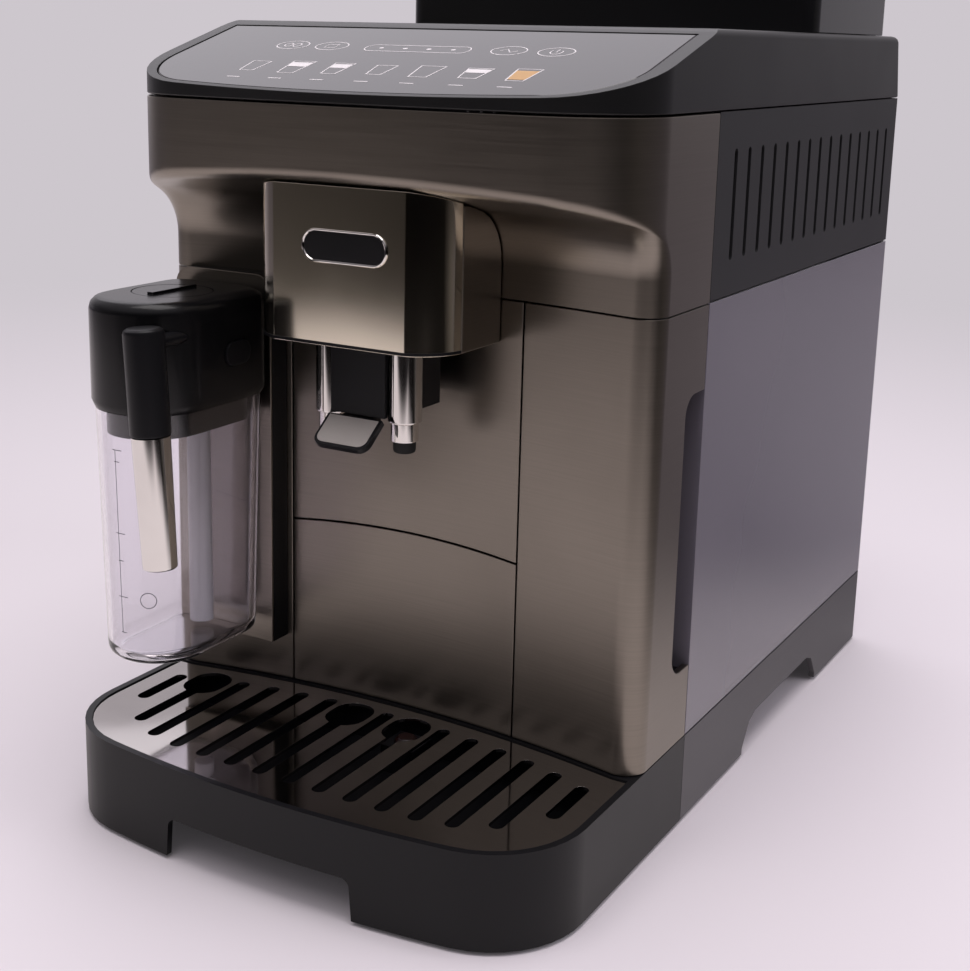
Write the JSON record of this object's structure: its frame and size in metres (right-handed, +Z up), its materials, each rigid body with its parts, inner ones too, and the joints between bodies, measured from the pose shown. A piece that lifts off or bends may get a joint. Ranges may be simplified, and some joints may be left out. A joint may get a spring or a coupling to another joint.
{
  "type": "bean to cup coffee machine",
  "caption": "Countertop bean to cup coffee machine with a bean hopper, sliding coffee spout, drip tray, side water tank and a plug-in milk carafe.",
  "frame": {"origin": "on the table, under the middle of the machine's bounding box", "axes": "+X to the right seen from the front, front towards -Y, +Z up"},
  "size_m": [0.24, 0.41, 0.36],
  "materials": {
    "bronze": "brushed bronze lacquer",
    "black_plastic": "satin",
    "grey_plastic": "fine texture",
    "gloss_black": "gloss",
    "tank_clear": "smoky clear",
    "carafe_clear": "clear",
    "chrome": "polished",
    "steel": "polished",
    "dark_metal": "satin",
    "aluminium": "cast",
    "rubber": "matte",
    "tab_grey": "satin",
    "float_red": "satin",
    "intake_white": "satin",
    "board_green": "satin"
  },
  "bodies": {
    "machine": {"base_frame": "grey_plastic", "foot_front_left": "rubber", "foot_front_right": "rubber", "foot_rear_left": "rubber", "foot_rear_right": "rubber", "inner_frame": "black_plastic", "side_panel": "grey_plastic", "vent_panel": "grey_plastic", "back_cover": "grey_plastic", "hood": "bronze", "column_left": "bronze", "column_right": "bronze", "grip_liner": "black_plastic", "centre_panel": "bronze", "top_cover": "black_plastic", "control_panel": "gloss_black", "bean_hopper": "gloss_black", "spout_housing": "chrome", "spout_bracket": "bronze", "dock_panel": "black_plastic", "dock_plate": "bronze", "milk_nozzle": "dark_metal", "power_inlet": "black_plastic", "grinder_body": "dark_metal", "grinder_motor": "dark_metal", "brew_unit": "grey_plastic", "brew_drive": "dark_metal", "boiler": "aluminium", "pump": "black_plastic", "circuit_board": "board_green"},
    "tray": {"drip_tray": "black_plastic", "grounds_front": "bronze", "grounds_bin": "black_plastic"},
    "grille": {"drip_grille": "steel"},
    "float": {"level_float": "float_red"},
    "tank": {"water_tank": "tank_clear", "tank_lid": "black_plastic"},
    "valve": {"tank_valve": "black_plastic"},
    "spout": {"spout_carriage": "black_plastic", "spout_pipe_left": "chrome", "spout_pipe_right": "chrome", "spout_nozzle_left": "black_plastic", "spout_nozzle_right": "black_plastic", "spout_tab": "tab_grey"},
    "carafe": {"carafe_lid": "black_plastic", "milk_intake_tube": "intake_white"},
    "container": {"carafe_container": "carafe_clear"},
    "froth_knob": {"froth_dial": "black_plastic"},
    "button_left": {"release_button_left": "black_plastic"},
    "button_right": {"release_button_right": "black_plastic"},
    "arm": {"milk_arm": "black_plastic", "milk_spout": "chrome"},
    "lid": {"hopper_lid": "gloss_black"},
    "grind_knob": {"grind_dial": "black_plastic"},
    "door": {"preground_door": "black_plastic"},
    "switch": {"main_switch": "black_plastic"},
    "burr": {"burr_rotor": "dark_metal"},
    "piston": {"brew_piston": "dark_metal"}
  },
  "joints": [
    {"name": "tray_slide", "type": "slide", "parent": "machine", "child": "tray", "axis": [0, -1, 0], "range_m": [0, 0.14]},
    {"name": "grille_lift", "type": "slide", "parent": "tray", "child": "grille", "axis": [0, 0, 1], "range_m": [0, 0.02]},
    {"name": "float_rise", "type": "slide", "parent": "tray", "child": "float", "axis": [0, 0, 1], "range_m": [0, 0.006]},
    {"name": "tank_slide", "type": "slide", "parent": "machine", "child": "tank", "axis": [1, 0, 0], "range_m": [0, 0.12]},
    {"name": "valve_slide", "type": "slide", "parent": "tank", "child": "valve", "axis": [1, 0, 0], "range_m": [0, 0.003], "stiffness_N_per_m": 100},
    {"name": "spout_slide", "type": "slide", "parent": "machine", "child": "spout", "axis": [0, 0, 1], "range_m": [-0.045, 0.008]},
    {"name": "carafe_pull", "type": "slide", "parent": "machine", "child": "carafe", "axis": [0, -1, 0], "range_m": [0, 0.05]},
    {"name": "container_drop", "type": "slide", "parent": "carafe", "child": "container", "axis": [0, 0, -1], "range_m": [0, 0.01]},
    {"name": "froth_turn", "type": "hinge", "parent": "carafe", "child": "froth_knob", "pos_m": [-0.085, -0.14999, 0.228], "axis": [0, 0, 1], "range_deg": [-45, 45]},
    {"name": "button_left_press", "type": "slide", "parent": "carafe", "child": "button_left", "axis": [1, 0, 0], "range_m": [0, 0.002], "stiffness_N_per_m": 300},
    {"name": "button_right_press", "type": "slide", "parent": "carafe", "child": "button_right", "axis": [-1, 0, 0], "range_m": [0, 0.002], "stiffness_N_per_m": 300},
    {"name": "arm_swing", "type": "hinge", "parent": "carafe", "child": "arm", "pos_m": [-0.0632, -0.19249, 0.214], "axis": [0, -1, 0], "range_deg": [0, 45]},
    {"name": "lid_lift", "type": "slide", "parent": "machine", "child": "lid", "axis": [0, 0, 1], "range_m": [0, 0.06]},
    {"name": "grind_turn", "type": "hinge", "parent": "machine", "child": "grind_knob", "pos_m": [0.05575, 0.13625, 0.3013], "axis": [0, 0, 1], "range_deg": [-105, 105]},
    {"name": "door_open", "type": "hinge", "parent": "machine", "child": "door", "pos_m": [-0.05575, 0.126, 0.3133], "axis": [-1, 0, 0], "range_deg": [0, 90]},
    {"name": "switch_rock", "type": "hinge", "parent": "machine", "child": "switch", "pos_m": [-0.07, 0.202, 0.075], "axis": [1, 0, 0], "range_deg": [0, 14]},
    {"name": "burr_spin", "type": "hinge", "parent": "machine", "child": "burr", "pos_m": [-0.01, 0.136, 0.266], "axis": [0, 0, 1], "continuous": true},
    {"name": "piston_slide", "type": "slide", "parent": "machine", "child": "piston", "axis": [0, 0, 1], "range_m": [0, 0.02]}
  ]
}
